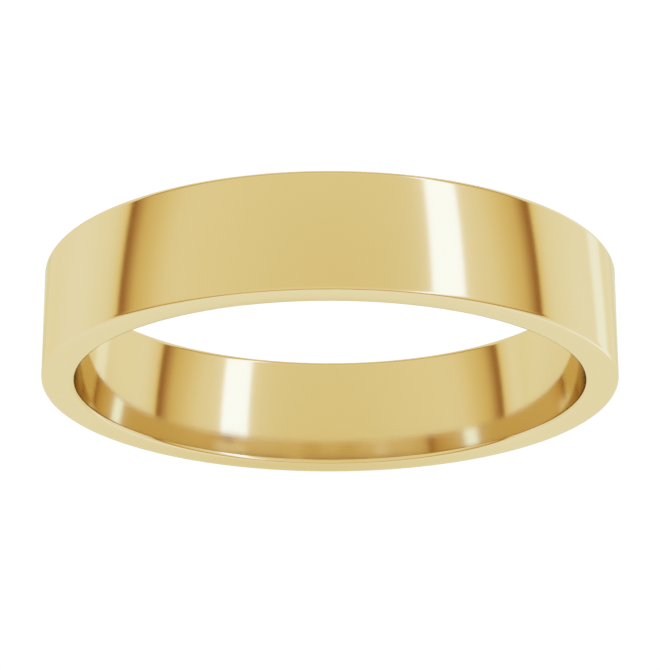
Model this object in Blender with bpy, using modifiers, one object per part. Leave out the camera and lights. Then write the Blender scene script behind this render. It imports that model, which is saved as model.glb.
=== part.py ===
"""A plain flat wedding band of polished yellow gold.

The band stands upright: its centre is the origin and the finger goes through it along Y.
It is one closed ring of metal, turned from a single rectangular section with eased corners.
"""
import math

import bmesh
import bpy

# Driving dimensions, in metres.
BORE_DIAMETER = 0.01735      # what the finger goes through: a US size 7
WALL_THICKNESS = 0.00114     # from the bore to the outer face
BAND_WIDTH = 0.0040          # along the finger
CORNER_RADIUS = 0.00017      # eased corners, inside and outside

# How finely the section is turned.
TURN_STEPS = 144
CORNER_STEPS = 4
MERGE_DISTANCE = 1e-6

GOLD_COLOUR = (0.81, 0.58, 0.22, 1.0)
GOLD_ROUGHNESS = 0.08

INNER_RADIUS = BORE_DIAMETER / 2
OUTER_RADIUS = INNER_RADIUS + WALL_THICKNESS


def clear_scene():
    """Start from an empty scene."""
    for item in list(bpy.data.objects):
        bpy.data.objects.remove(item)


def polished_gold():
    """The band's yellow gold."""
    material = bpy.data.materials.new("polished_gold")
    material.use_nodes = True
    shader = material.node_tree.nodes["Principled BSDF"]
    shader.inputs["Base Color"].default_value = GOLD_COLOUR
    shader.inputs["Metallic"].default_value = 1.0
    shader.inputs["Roughness"].default_value = GOLD_ROUGHNESS
    return material


def corner_arc(centre_radius, centre_height, start_angle):
    """A quarter turn of an eased corner, clockwise in the plane of radius and height."""
    points = []
    for step in range(CORNER_STEPS + 1):
        angle = start_angle - math.radians(90) * step / CORNER_STEPS
        radius = centre_radius + CORNER_RADIUS * math.cos(angle)
        height = centre_height + CORNER_RADIUS * math.sin(angle)
        points.append((radius, height))
    return points


def section_points():
    """The wall's section: down the outer face, across, up the bore and back."""
    outer = OUTER_RADIUS - CORNER_RADIUS
    inner = INNER_RADIUS + CORNER_RADIUS
    half = BAND_WIDTH / 2 - CORNER_RADIUS
    points = corner_arc(outer, half, math.radians(90))
    points += corner_arc(outer, -half, 0.0)
    points += corner_arc(inner, -half, math.radians(-90))
    points += corner_arc(inner, half, math.radians(180))
    return points


def turned_ring(name, points):
    """Turn a closed section around the object's own Z axis."""
    mesh = bpy.data.meshes.new(name)
    section = bmesh.new()
    corners = [section.verts.new((radius, 0.0, height)) for radius, height in points]
    for first, second in zip(corners, corners[1:] + corners[:1]):
        section.edges.new((first, second))
    section.to_mesh(mesh)
    section.free()
    ring = bpy.data.objects.new(name, mesh)
    turn = ring.modifiers.new("turn", "SCREW")
    turn.axis = "Z"
    turn.angle = math.radians(360)
    turn.steps = TURN_STEPS
    turn.render_steps = TURN_STEPS
    turn.use_smooth_shade = True
    turn.use_merge_vertices = True
    turn.merge_threshold = MERGE_DISTANCE
    return ring


def build_band(collection):
    """The whole band, stood upright with the finger's axis along Y."""
    band = turned_ring("band", section_points())
    band.rotation_euler = (math.radians(90), 0.0, 0.0)
    band.data.materials.append(polished_gold())
    collection.objects.link(band)
    return band


def main():
    clear_scene()
    collection = bpy.data.collections.new("wedding_band")
    bpy.context.scene.collection.children.link(collection)
    build_band(collection)


main()
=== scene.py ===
"""The looks of a plain flat wedding band in polished yellow gold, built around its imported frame.

The file is laid out as an add-on. The band and the stage each have an operator, a panel in the
3D view's sidebar lists them, and main() runs them in order.
"""

import math

import bmesh
import bpy
from bpy.props import FloatProperty, FloatVectorProperty, IntProperty, PointerProperty
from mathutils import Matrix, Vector


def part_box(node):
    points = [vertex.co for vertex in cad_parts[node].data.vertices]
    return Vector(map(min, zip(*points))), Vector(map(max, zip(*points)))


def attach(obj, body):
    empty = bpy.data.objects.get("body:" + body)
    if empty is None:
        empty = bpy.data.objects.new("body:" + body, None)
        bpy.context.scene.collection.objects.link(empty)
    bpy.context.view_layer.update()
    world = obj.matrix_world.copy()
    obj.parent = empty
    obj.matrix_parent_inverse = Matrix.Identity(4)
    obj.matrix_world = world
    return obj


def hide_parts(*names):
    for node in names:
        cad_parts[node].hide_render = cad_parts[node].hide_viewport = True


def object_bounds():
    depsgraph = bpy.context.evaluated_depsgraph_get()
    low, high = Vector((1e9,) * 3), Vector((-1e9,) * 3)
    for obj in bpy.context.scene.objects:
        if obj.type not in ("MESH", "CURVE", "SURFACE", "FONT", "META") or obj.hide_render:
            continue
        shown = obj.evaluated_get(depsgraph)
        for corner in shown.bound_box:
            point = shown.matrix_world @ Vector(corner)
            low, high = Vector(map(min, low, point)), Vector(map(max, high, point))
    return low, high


bl_info = {
    "name": "Wedding Band",
    "version": (1, 0, 0),
    "blender": (4, 5, 0),
    "location": "View3D > Sidebar > Wedding Band",
    "description": "Builds a polished gold wedding band and the stage it stands on",
    "category": "Add Mesh",
}

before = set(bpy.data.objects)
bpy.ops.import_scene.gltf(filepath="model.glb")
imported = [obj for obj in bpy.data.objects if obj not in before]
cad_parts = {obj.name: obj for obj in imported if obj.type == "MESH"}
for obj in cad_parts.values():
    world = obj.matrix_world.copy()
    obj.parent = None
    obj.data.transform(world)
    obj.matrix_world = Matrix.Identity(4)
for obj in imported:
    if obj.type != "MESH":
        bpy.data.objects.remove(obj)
CAD_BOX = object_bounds()

# Camera, as seen from the band's centre.
VIEW_ELEVATION = math.radians(70.44)
VIEW_DISTANCE = 9.41          # in outer radii of the band
SENSOR_LONG_SIDE = 36.0       # millimetres
LENS = 144.3                  # millimetres

# The stage.
FLOOR_SPAN = 8.0              # metres
FLOOR_STRENGTH = 1.02         # a little over white, so that the floor is sure to show as white

# The ring's mesh.
RIM_TOLERANCE = 0.001         # how near the band's side a point counts as on the rim, in widths
MERGE_DISTANCE = 1e-7         # metres
SHARP_ANGLE = math.radians(60)
CORNER_SEGMENTS = 4

# The polishing lines.
LINE_SPACING = 0.00002        # metres from one line to the next
LINES_ROUND = 5.0             # lengths of line to each radian of the ring

# The hairlines: how each set is turned, then its length and spacing in metres.
HAIRLINE_SETS = (
    ((0.3, 0.2, 0.5), 0.004, 0.0007),
    ((1.1, 0.7, 0.1), 0.003, 0.0009),
    ((0.2, 1.3, 0.9), 0.005, 0.0008),
)
HAIRLINE_EDGE = (0.02, 0.10)  # from its middle, where it starts to fade and ends, in spacings
HAIRLINE_HAZE = 0.03          # roughness that a hairline adds

# The faint drift of colour and haze, and the haze of the eased corners.
CLOUD_SCALE = 260.0           # patches of colour to the metre
FINE_CLOUD_SCALE = 1900.0     # patches of haze to the metre
HAZE_DRIFT = 0.03             # how far the roughness drifts
CORNER_HAZE = 0.03            # roughness that the eased corners add
CORNER_REACH = (0.5, 1.4)     # from a corner, where that starts to fade and ends, in its radii

# The soft shade behind the ring and the darker shade at its foot, both on the floor. Each is
# measured in outer radii: the place of its middle, and from there where it starts to fade and ends.
SHADE_PLACE = (-0.4, 0.4)
SHADE_FADE = (0.6, 2.2)
SHADE_FRONT = (-0.1, 0.2)     # behind the ring's middle, where the soft shade starts and is full
FOOT_PLACE = (-0.12, -0.1)
FOOT_FADE = (0.1, 0.92)


def solid_sizes(node):
    """Outer radius, bore radius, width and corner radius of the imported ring."""
    low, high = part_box(node)
    width = high.y - low.y
    points = [vertex.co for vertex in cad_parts[node].data.vertices]
    bore = min(math.hypot(point.x, point.z) for point in points)
    on_rim = [point for point in points if point.y - low.y < width * RIM_TOLERANCE]
    rim = min(math.hypot(point.x, point.z) for point in on_rim)
    return high.x, bore, width, rim - bore


OUTER_RADIUS, BORE_RADIUS, WIDTH, CORNER = solid_sizes("band")


# Properties


class BandSizes(bpy.types.PropertyGroup):
    """Sizes of the ring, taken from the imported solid."""

    outer_radius: FloatProperty(
        name="Outer radius",
        description="From the finger's axis to the outer face",
        default=OUTER_RADIUS, unit="LENGTH", precision=5,
    )
    bore_radius: FloatProperty(
        name="Bore radius",
        description="From the finger's axis to the face that touches the finger",
        default=BORE_RADIUS, unit="LENGTH", precision=5,
    )
    width: FloatProperty(
        name="Width",
        description="Width of the ring along the finger",
        default=WIDTH, unit="LENGTH", precision=5,
    )
    corner: FloatProperty(
        name="Corner",
        description="Radius that the four edges are eased to",
        default=CORNER, unit="LENGTH", precision=5,
    )
    steps: IntProperty(
        name="Steps",
        description="Steps that the section is turned in",
        default=720, min=24,
    )


class GoldFinish(bpy.types.PropertyGroup):
    """Colour and polish of the gold."""

    colour: FloatVectorProperty(
        name="Gold",
        description="Colour of the polished metal seen straight on",
        default=(0.80, 0.61, 0.30), min=0.0, max=1.0, size=3, subtype="COLOR",
    )
    deep_colour: FloatVectorProperty(
        name="Deep gold",
        description="Colour that the alloy drifts towards in faint patches",
        default=(0.785, 0.585, 0.275), min=0.0, max=1.0, size=3, subtype="COLOR",
    )
    edge_tint: FloatVectorProperty(
        name="Edge tint",
        description="Share of the usual whitening that the gold keeps when seen at a low angle",
        default=(0.91, 0.81, 0.58), min=0.0, max=1.0, size=3, subtype="COLOR",
    )
    roughness: FloatProperty(
        name="Roughness",
        description="Haze that is left after the last buffing",
        default=0.095, min=0.0, max=1.0, subtype="FACTOR",
    )
    lines: FloatProperty(
        name="Polishing lines",
        description="Height of the fine lines that run round the ring",
        default=4.5e-7, unit="LENGTH", precision=9,
    )
    hairlines: FloatProperty(
        name="Hairlines",
        description="Depth of the scratches that wear leaves",
        default=4.0e-8, unit="LENGTH", precision=9,
    )


class StageLook(bpy.types.PropertyGroup):
    """Colours of the studio: what the gold mirrors, and the plain backdrop round the ring."""

    strip: FloatVectorProperty(
        name="Strip light",
        description="Brightness of the long soft light to the right",
        default=(1.21, 1.61, 3.05), min=0.0, size=3, subtype="COLOR", soft_max=4.0,
    )
    deep_strip: FloatVectorProperty(
        name="Strip light, mirrored again",
        description="Brightness of the same light where it has been mirrored twice or more",
        default=(1.35, 2.40, 7.5), min=0.0, size=3, subtype="COLOR", soft_max=8.0,
    )
    deep: FloatVectorProperty(
        name="Studio, mirrored many times",
        description="Brightness that the studio tends to where the bore mirrors it over and over",
        default=(0.5, 0.75, 2.2), min=0.0, size=3, subtype="COLOR", soft_max=4.0,
    )
    glare: FloatVectorProperty(
        name="Glare",
        description="Brightness that the strip's far end spills over what the bore mirrors again",
        default=(1.08, 1.45, 2.6), min=0.0, size=3, subtype="COLOR", soft_max=4.0,
    )
    floor_strip: FloatVectorProperty(
        name="Strip light in the floor",
        description="Brightness of the long light where the floor mirrors it",
        default=(1.08, 1.39, 2.42), min=0.0, size=3, subtype="COLOR", soft_max=4.0,
    )
    shade: FloatVectorProperty(
        name="Side shade",
        description="Brightness of the floor in the soft shade to both sides of the ring",
        default=(0.884, 0.976, 0.94), min=0.0, max=1.0, size=3, subtype="COLOR",
    )
    floor_shade: FloatVectorProperty(
        name="Floor shade",
        description="Share of the light that is left in the ring's soft shade on the floor",
        default=(0.975, 0.94, 0.80), min=0.0, max=1.0, size=3, subtype="COLOR",
    )
    foot: FloatVectorProperty(
        name="Shade at the foot",
        description="Share of the light that is left on the floor at the ring's foot",
        default=(0.925, 0.86, 0.67), min=0.0, max=1.0, size=3, subtype="COLOR",
    )
    backdrop: FloatVectorProperty(
        name="Backdrop",
        description="Colour of the floor and the space behind the ring",
        default=(1.0, 1.0, 1.0), min=0.0, max=1.0, size=3, subtype="COLOR",
    )


# Shader nodes


class Signal:
    """A shader socket that takes part in arithmetic: an expression adds its Math nodes."""

    def __init__(self, graph, socket):
        self.graph = graph
        self.socket = socket

    def maths(self, operation, first, second=0.0):
        return self.graph.add("ShaderNodeMath", {"operation": operation}, {0: first, 1: second})

    def __add__(self, other):
        return self.maths("ADD", self, other)

    def __radd__(self, other):
        return self.maths("ADD", other, self)

    def __sub__(self, other):
        return self.maths("SUBTRACT", self, other)

    def __rsub__(self, other):
        return self.maths("SUBTRACT", other, self)

    def __mul__(self, other):
        return self.maths("MULTIPLY", self, other)

    def __rmul__(self, other):
        return self.maths("MULTIPLY", other, self)

    def __truediv__(self, other):
        return self.maths("DIVIDE", self, other)

    def __rtruediv__(self, other):
        return self.maths("DIVIDE", other, self)

    def __pow__(self, other):
        return self.maths("POWER", self, other)

    def __rpow__(self, other):
        return self.maths("POWER", other, self)

    def __abs__(self):
        return self.maths("ABSOLUTE", self)

    def __gt__(self, other):
        return self.maths("GREATER_THAN", self, other)

    def __lt__(self, other):
        return self.maths("LESS_THAN", self, other)


class Graph:
    """A node tree that is filled by one method."""

    def __init__(self, tree):
        self.tree = tree
        self.tree.nodes.clear()

    def add(self, kind, settings=None, inputs=None, output=0):
        """Adds a node: its settings first, then the values or links of its sockets."""
        node = self.tree.nodes.new(kind)
        for name, value in (settings or {}).items():
            if name == "stops":
                self.set_stops(node.color_ramp, value)
            else:
                setattr(node, name, value)
        for name, value in (inputs or {}).items():
            if isinstance(value, Signal):
                self.tree.links.new(value.socket, node.inputs[name])
            else:
                node.inputs[name].default_value = value
        return Signal(self, node.outputs[output]) if len(node.outputs) else node

    @staticmethod
    def set_stops(ramp, stops):
        """Gives a colour ramp its stops, each a place and a colour."""
        while len(ramp.elements) > 1:
            ramp.elements.remove(ramp.elements[-1])
        for index, (place, colour) in enumerate(stops):
            stop = ramp.elements.new(place) if index else ramp.elements[0]
            stop.position = place
            stop.color = (*colour, 1.0)

    def split(self, vector):
        """The X, Y and Z of a vector."""
        parts = self.add("ShaderNodeSeparateXYZ", inputs={0: vector}).socket.node
        return [Signal(self, socket) for socket in parts.outputs]

    def join(self, x, y, z):
        """A vector from its X, Y and Z."""
        return self.add("ShaderNodeCombineXYZ", inputs={0: x, 1: y, 2: z})

    def fade(self, value, low, high, start=0.0, end=1.0):
        """A smooth step from start to end as value goes from low to high."""
        return self.add(
            "ShaderNodeMapRange",
            {"interpolation_type": "SMOOTHSTEP"},
            {"Value": value, "From Min": low, "From Max": high, "To Min": start, "To Max": end},
        )

    def noise(self, vector, scale, detail=2.0):
        """Soft noise, about 0.5 on average."""
        return self.add(
            "ShaderNodeTexNoise",
            {"noise_dimensions": "3D"},
            {"Vector": vector, "Scale": scale, "Detail": detail},
        )

    def mix_colours(self, factor, first, second):
        """A colour between two others."""
        return self.add(
            "ShaderNodeMix",
            {"data_type": "RGBA"},
            {0: factor, 6: first, 7: second},
            output=2,
        )


def with_alpha(colour):
    """A colour property as a shader socket takes it."""
    return (*colour, 1.0)


# Materials


def hairlines(graph, place, turn, length, spacing):
    """Thin straight marks in one direction: 1 on a mark and 0 between marks."""
    along = graph.add(
        "ShaderNodeMapping",
        {"vector_type": "POINT"},
        {"Vector": place, "Rotation": turn, "Scale": (1 / spacing, 1 / length, 1 / spacing)},
    )
    cells = graph.add(
        "ShaderNodeTexVoronoi",
        {"voronoi_dimensions": "3D", "feature": "F1"},
        {"Vector": along, "Scale": 1.0},
    )
    return graph.fade(cells, *HAIRLINE_EDGE, 1.0, 0.0)


def polished_gold(finish, sizes):
    """Buffed yellow gold: lines round the ring, hairlines, softer corners and a faint drift."""
    material = bpy.data.materials.new("polished_gold")
    material.use_nodes = True
    graph = Graph(material.node_tree)
    place = graph.add("ShaderNodeTexCoord", output=3)
    x, y, z = graph.split(place)
    radius = (x * x + z * z) ** 0.5

    # Lines round the ring: noise that changes fast across the metal and slowly along it.
    across = (radius + y) / LINE_SPACING
    around = graph.join(x / radius * LINES_ROUND, across, z / radius * LINES_ROUND)
    lines = graph.noise(around, 1.0, detail=1.0)

    # Hairlines from wear, in three directions.
    marks = sum(hairlines(graph, place, *one_way) for one_way in HAIRLINE_SETS)

    # Corners: where a point is near an edge both across the band and through the wall.
    middle = (sizes.outer_radius + sizes.bore_radius) / 2
    half_wall = (sizes.outer_radius - sizes.bore_radius) / 2
    to_side = sizes.width / 2 - abs(y)
    to_face = half_wall - abs(radius - middle)
    full, end = (sizes.corner * reach for reach in CORNER_REACH)
    corner = graph.fade(to_side + to_face, full, end, 1.0, 0.0)

    cloud = graph.noise(place, CLOUD_SCALE)
    fine_cloud = graph.noise(place, FINE_CLOUD_SCALE, detail=4.0)
    colour = graph.mix_colours(cloud, with_alpha(finish.colour), with_alpha(finish.deep_colour))
    haze = (fine_cloud - 0.5) * HAZE_DRIFT + marks * HAIRLINE_HAZE + corner * CORNER_HAZE
    roughness = finish.roughness + haze
    height = (lines - 0.5) * finish.lines - marks * finish.hairlines
    bump = graph.add("ShaderNodeBump", None, {"Strength": 1.0, "Distance": 1.0, "Height": height})
    shader = graph.add(
        "ShaderNodeBsdfPrincipled",
        None,
        {
            "Base Color": colour,
            "Metallic": 1.0,
            "Roughness": roughness,
            "Specular Tint": with_alpha(finish.edge_tint),
            "Normal": bump,
        },
    )
    graph.add("ShaderNodeOutputMaterial", None, {"Surface": shader})
    return material


def soft_spot(graph, x, y, place, fade):
    """1 around a place on the floor, fading to 0 away from it."""
    away = ((x - place[0]) ** 2.0 + (y - place[1]) ** 2.0) ** 0.5
    return graph.fade(away, *fade, 1.0, 0.0)


def studio_floor(look, radius):
    """A pale floor: white to the camera, and a soft shade over what the gold mirrors below it."""
    material = bpy.data.materials.new("studio_floor")
    material.use_nodes = True
    graph = Graph(material.node_tree)
    x, y, _ = graph.split(graph.add("ShaderNodeTexCoord", output=3))
    x, y = x / radius, y / radius
    behind = soft_spot(graph, x, y, SHADE_PLACE, SHADE_FADE) * graph.fade(y, *SHADE_FRONT)
    under = soft_spot(graph, x, y, FOOT_PLACE, FOOT_FADE)
    tint = graph.mix_colours(behind, (1.0, 1.0, 1.0, 1.0), with_alpha(look.floor_shade))
    tint = graph.mix_colours(under, tint, with_alpha(look.foot))
    clear = graph.add("ShaderNodeBsdfTransparent", None, {"Color": tint})
    white = graph.add(
        "ShaderNodeEmission",
        None,
        {"Color": with_alpha(look.backdrop), "Strength": FLOOR_STRENGTH},
    )
    seen = graph.add("ShaderNodeLightPath", output=0)
    both = graph.add("ShaderNodeMixShader", None, {0: seen, 1: clear, 2: white})
    graph.add("ShaderNodeOutputMaterial", None, {"Surface": both})
    return material


# Height above the horizon in degrees, and the brightness of the floor or the dome there.
STUDIO_STOPS = (
    (-90.0, (0.972, 1.155, 1.55)),
    (-66.0, (0.972, 1.155, 1.55)),
    (-55.0, (0.985, 1.15, 1.46)),
    (-41.0, (0.975, 1.145, 1.52)),
    (-26.0, (0.977, 1.14, 1.5)),
    (-19.0, (0.966, 1.118, 1.363)),
    (-11.0, (0.948, 1.078, 1.222)),
    (-6.5, (0.937, 1.04, 1.108)),
    (-4.5, (0.927, 1.013, 1.037)),
    (-2.8, (0.917, 0.97, 0.947)),
    (-1.0, (0.922, 0.916, 0.673)),
    (0.0, (0.9, 0.86, 0.5)),
    (0.6, (0.84, 0.73, 0.32)),
    (1.3, (0.34, 0.15, 0.04)),
    (3.2, (0.35, 0.16, 0.055)),
    (5.2, (0.53, 0.355, 0.15)),
    (9.0, (0.77, 0.66, 0.345)),
    (13.0, (0.81, 0.75, 0.46)),
    (18.0, (0.865, 0.85, 0.63)),
    (24.0, (0.905, 0.95, 0.88)),
    (30.0, (0.915, 0.97, 0.91)),
    (41.0, (0.905, 0.95, 0.86)),
    (58.0, (0.875, 0.92, 0.8)),
    (68.0, (0.875, 0.895, 0.74)),
    (90.0, (0.865, 0.87, 0.66)),
)

# Long bands of light or shade that run along the finger's axis. Each is measured in degrees from
# straight up, towards +X: its middle, half its width and the softness of its edges.
STRIP = (45.7, 6.9, 0.6)
FLOOR_STRIP = (134.3, 5.7, 2.5)  # the strip as the floor mirrors it
SIDE_SHADE = (163.5, 8.5, 4.5)   # on both sides
GLARE = (-88.0, 15.0, 6.0)       # where two mirrorings send the end of the strip

# Where they start or end along the finger's axis, as the Y part of a direction one unit long.
STRIP_REACH = 0.85
SIDE_SHADE_START = (0.08, 0.27)  # where it starts and is full
GLARE_END = (0.25, 0.31)         # where it starts to fade and ends

GLOW_SHARE = 0.22             # brightness of the glow at the strip's edge, as a share of the strip
GLOW_HALVES_IN = 2.9          # degrees that the glow takes to fall by half

# Limits between ray depths: a ray that leaves the gold after one mirroring has depth 2.
MIRRORED_TWICE = 2.5
MIRRORED_THRICE = 3.5
MIRRORED_OFTEN = 6.5


def lengthwise_band(graph, lean, band):
    """1 within a band, fading to 0 at its two edges."""
    middle, half_width, softness = band
    edge = abs(lean - middle)
    return graph.fade(edge, half_width - softness, half_width + softness, 1.0, 0.0)


def strip_with_glow(graph, lean, y):
    """The strip light and the glow that falls off to both sides of it."""
    middle, half_width, softness = STRIP
    glow = GLOW_SHARE * 0.5 ** ((abs(lean - middle) - half_width) / GLOW_HALVES_IN)
    strip = lengthwise_band(graph, lean, STRIP)
    return (strip + (1 - strip) * glow) * (abs(y) < STRIP_REACH)


def studio_light(look):
    """The world: a lit floor, a dim horizon, a soft dome and one long strip light."""
    world = bpy.data.worlds.new("studio")
    world.use_nodes = True
    graph = Graph(world.node_tree)
    rays = graph.add("ShaderNodeLightPath").socket.node
    seen = Signal(graph, rays.outputs["Is Camera Ray"])
    depth = Signal(graph, rays.outputs["Ray Depth"])
    x, y, z = graph.split(graph.add("ShaderNodeTexCoord", output=0))
    lean = x.maths("ARCTAN2", x, z) * (180 / math.pi)

    # The floor below the horizon and the dome above it.
    height = z.maths("ARCSINE", z) * (1 / math.pi) + 0.5
    stops = [(0.5 + degrees / 180, colour) for degrees, colour in STUDIO_STOPS]
    studio = graph.add("ShaderNodeValToRGB", {"stops": stops}, {0: height})

    # What lies over them, from the back to the front.
    shade = lengthwise_band(graph, abs(lean), SIDE_SHADE) * graph.fade(y, *SIDE_SHADE_START)
    floor_strip = lengthwise_band(graph, lean, FLOOR_STRIP)
    deep = graph.fade(depth, MIRRORED_TWICE, MIRRORED_OFTEN)
    twice = (depth > MIRRORED_TWICE) * (depth < MIRRORED_THRICE)
    glare = lengthwise_band(graph, lean, GLARE) * twice * graph.fade(y, *GLARE_END, 1.0, 0.0)
    for share, colour in (
        (shade, look.shade),
        (floor_strip, look.floor_strip),
        (deep, look.deep),
        (glare, look.glare),
    ):
        studio = graph.mix_colours(share, studio, with_alpha(colour))

    light = graph.mix_colours(
        depth > MIRRORED_TWICE, with_alpha(look.strip), with_alpha(look.deep_strip)
    )
    studio = graph.mix_colours(strip_with_glow(graph, lean, y), studio, light)
    studio = graph.mix_colours(seen, studio, with_alpha(look.backdrop))
    sky = graph.add("ShaderNodeBackground", None, {"Color": studio, "Strength": 1.0})
    graph.add("ShaderNodeOutputWorld", None, {"Surface": sky})
    return world


# Pieces


def finished(name, mesh_data, material):
    """A smooth shaded object at the origin, made from a bmesh."""
    mesh = bpy.data.meshes.new(name)
    mesh_data.to_mesh(mesh)
    mesh_data.free()
    mesh.shade_smooth()
    piece = bpy.data.objects.new(name, mesh)
    piece.data.materials.append(material)
    bpy.context.scene.collection.objects.link(piece)
    return piece


def ring_mesh(sizes):
    """A rectangular section turned round the finger's axis, with its four edges eased."""
    ring = bmesh.new()
    half = sizes.width / 2
    corners = (
        (sizes.outer_radius, half),
        (sizes.outer_radius, -half),
        (sizes.bore_radius, -half),
        (sizes.bore_radius, half),
    )
    section = [ring.verts.new((radius, y, 0.0)) for radius, y in corners]
    sides = [ring.edges.new(pair) for pair in zip(section, section[1:] + section[:1])]
    bmesh.ops.spin(
        ring,
        geom=section + sides,
        cent=(0.0, 0.0, 0.0),
        axis=(0.0, 1.0, 0.0),
        angle=math.radians(360),
        steps=sizes.steps,
        use_merge=True,
        use_duplicate=False,
    )
    bmesh.ops.remove_doubles(ring, verts=ring.verts, dist=MERGE_DISTANCE)
    bmesh.ops.recalc_face_normals(ring, faces=ring.faces)
    edges = [edge for edge in ring.edges if edge.calc_face_angle() > SHARP_ANGLE]
    bmesh.ops.bevel(
        ring,
        geom=edges,
        offset=sizes.corner,
        offset_type="OFFSET",
        affect="EDGES",
        segments=CORNER_SEGMENTS,
        profile=0.5,
        material=-1,
    )
    return ring


class BAND_OT_ring(bpy.types.Operator):
    """Model the gold ring and give it its polish"""

    bl_idname = "wedding_band.ring"
    bl_label = "Ring"
    bl_options = {"REGISTER", "UNDO"}

    def execute(self, context):
        sizes = context.scene.band_sizes
        if sizes.bore_radius + 2 * sizes.corner >= sizes.outer_radius:
            raise ValueError("The wall is too thin for its corners")
        material = polished_gold(context.scene.gold_finish, sizes)
        ring = finished("gold_band", ring_mesh(sizes), material)
        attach(ring, "root")
        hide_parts("band")
        return {"FINISHED"}


class BAND_OT_stage(bpy.types.Operator):
    """Add the floor, the studio light and the camera"""

    bl_idname = "wedding_band.stage"
    bl_label = "Stage"
    bl_options = {"REGISTER", "UNDO"}

    def execute(self, context):
        scene = context.scene
        look = scene.stage_look
        if scene.band_sizes.outer_radius <= 0:
            raise ValueError("The band has no size to stand a camera off from")
        slab = bmesh.new()
        bmesh.ops.create_grid(slab, x_segments=1, y_segments=1, size=FLOOR_SPAN / 2)
        bmesh.ops.translate(slab, verts=slab.verts, vec=(0.0, 0.0, CAD_BOX[0].z))
        finished("floor", slab, studio_floor(look, scene.band_sizes.outer_radius))
        scene.world = studio_light(look)
        scene.view_settings.view_transform = "Standard"
        scene.view_settings.look = "None"
        scene.camera = self.camera(context, scene.band_sizes.outer_radius)
        return {"FINISHED"}

    @staticmethod
    def camera(context, radius):
        """The camera, looking at the middle of the band from high in front of it."""
        lens = bpy.data.cameras.new("camera")
        lens.sensor_width = SENSOR_LONG_SIDE
        lens.lens = LENS
        lens.clip_start = radius
        lens.clip_end = FLOOR_SPAN * 2
        camera = bpy.data.objects.new("camera", lens)
        back = Vector((0.0, -math.cos(VIEW_ELEVATION), math.sin(VIEW_ELEVATION)))
        camera.location = (CAD_BOX[0] + CAD_BOX[1]) / 2 + back * radius * VIEW_DISTANCE
        camera.rotation_euler = (-back).to_track_quat("-Z", "Y").to_euler()
        context.scene.collection.objects.link(camera)
        return camera


class BAND_PT_panel(bpy.types.Panel):
    """The band's sizes, finish and stage in the 3D view's sidebar"""

    bl_idname = "BAND_PT_panel"
    bl_label = "Wedding Band"
    bl_space_type = "VIEW_3D"
    bl_region_type = "UI"
    bl_category = "Wedding Band"

    def draw(self, context):
        scene = context.scene
        for group in (scene.band_sizes, scene.gold_finish, scene.stage_look):
            box = self.layout.box()
            for name in group.bl_rna.properties.keys():
                if name not in ("rna_type", "name"):
                    box.prop(group, name)
        for operator in (BAND_OT_ring, BAND_OT_stage):
            self.layout.operator(operator.bl_idname)


CLASSES = (BandSizes, GoldFinish, StageLook, BAND_OT_ring, BAND_OT_stage, BAND_PT_panel)


def register():
    for item in CLASSES:
        bpy.utils.register_class(item)
    bpy.types.Scene.band_sizes = PointerProperty(type=BandSizes)
    bpy.types.Scene.gold_finish = PointerProperty(type=GoldFinish)
    bpy.types.Scene.stage_look = PointerProperty(type=StageLook)


def unregister():
    del bpy.types.Scene.stage_look
    del bpy.types.Scene.gold_finish
    del bpy.types.Scene.band_sizes
    for item in reversed(CLASSES):
        bpy.utils.unregister_class(item)


def main():
    register()
    bpy.ops.wedding_band.ring()
    bpy.ops.wedding_band.stage()


if __name__ == "__main__":
    main()
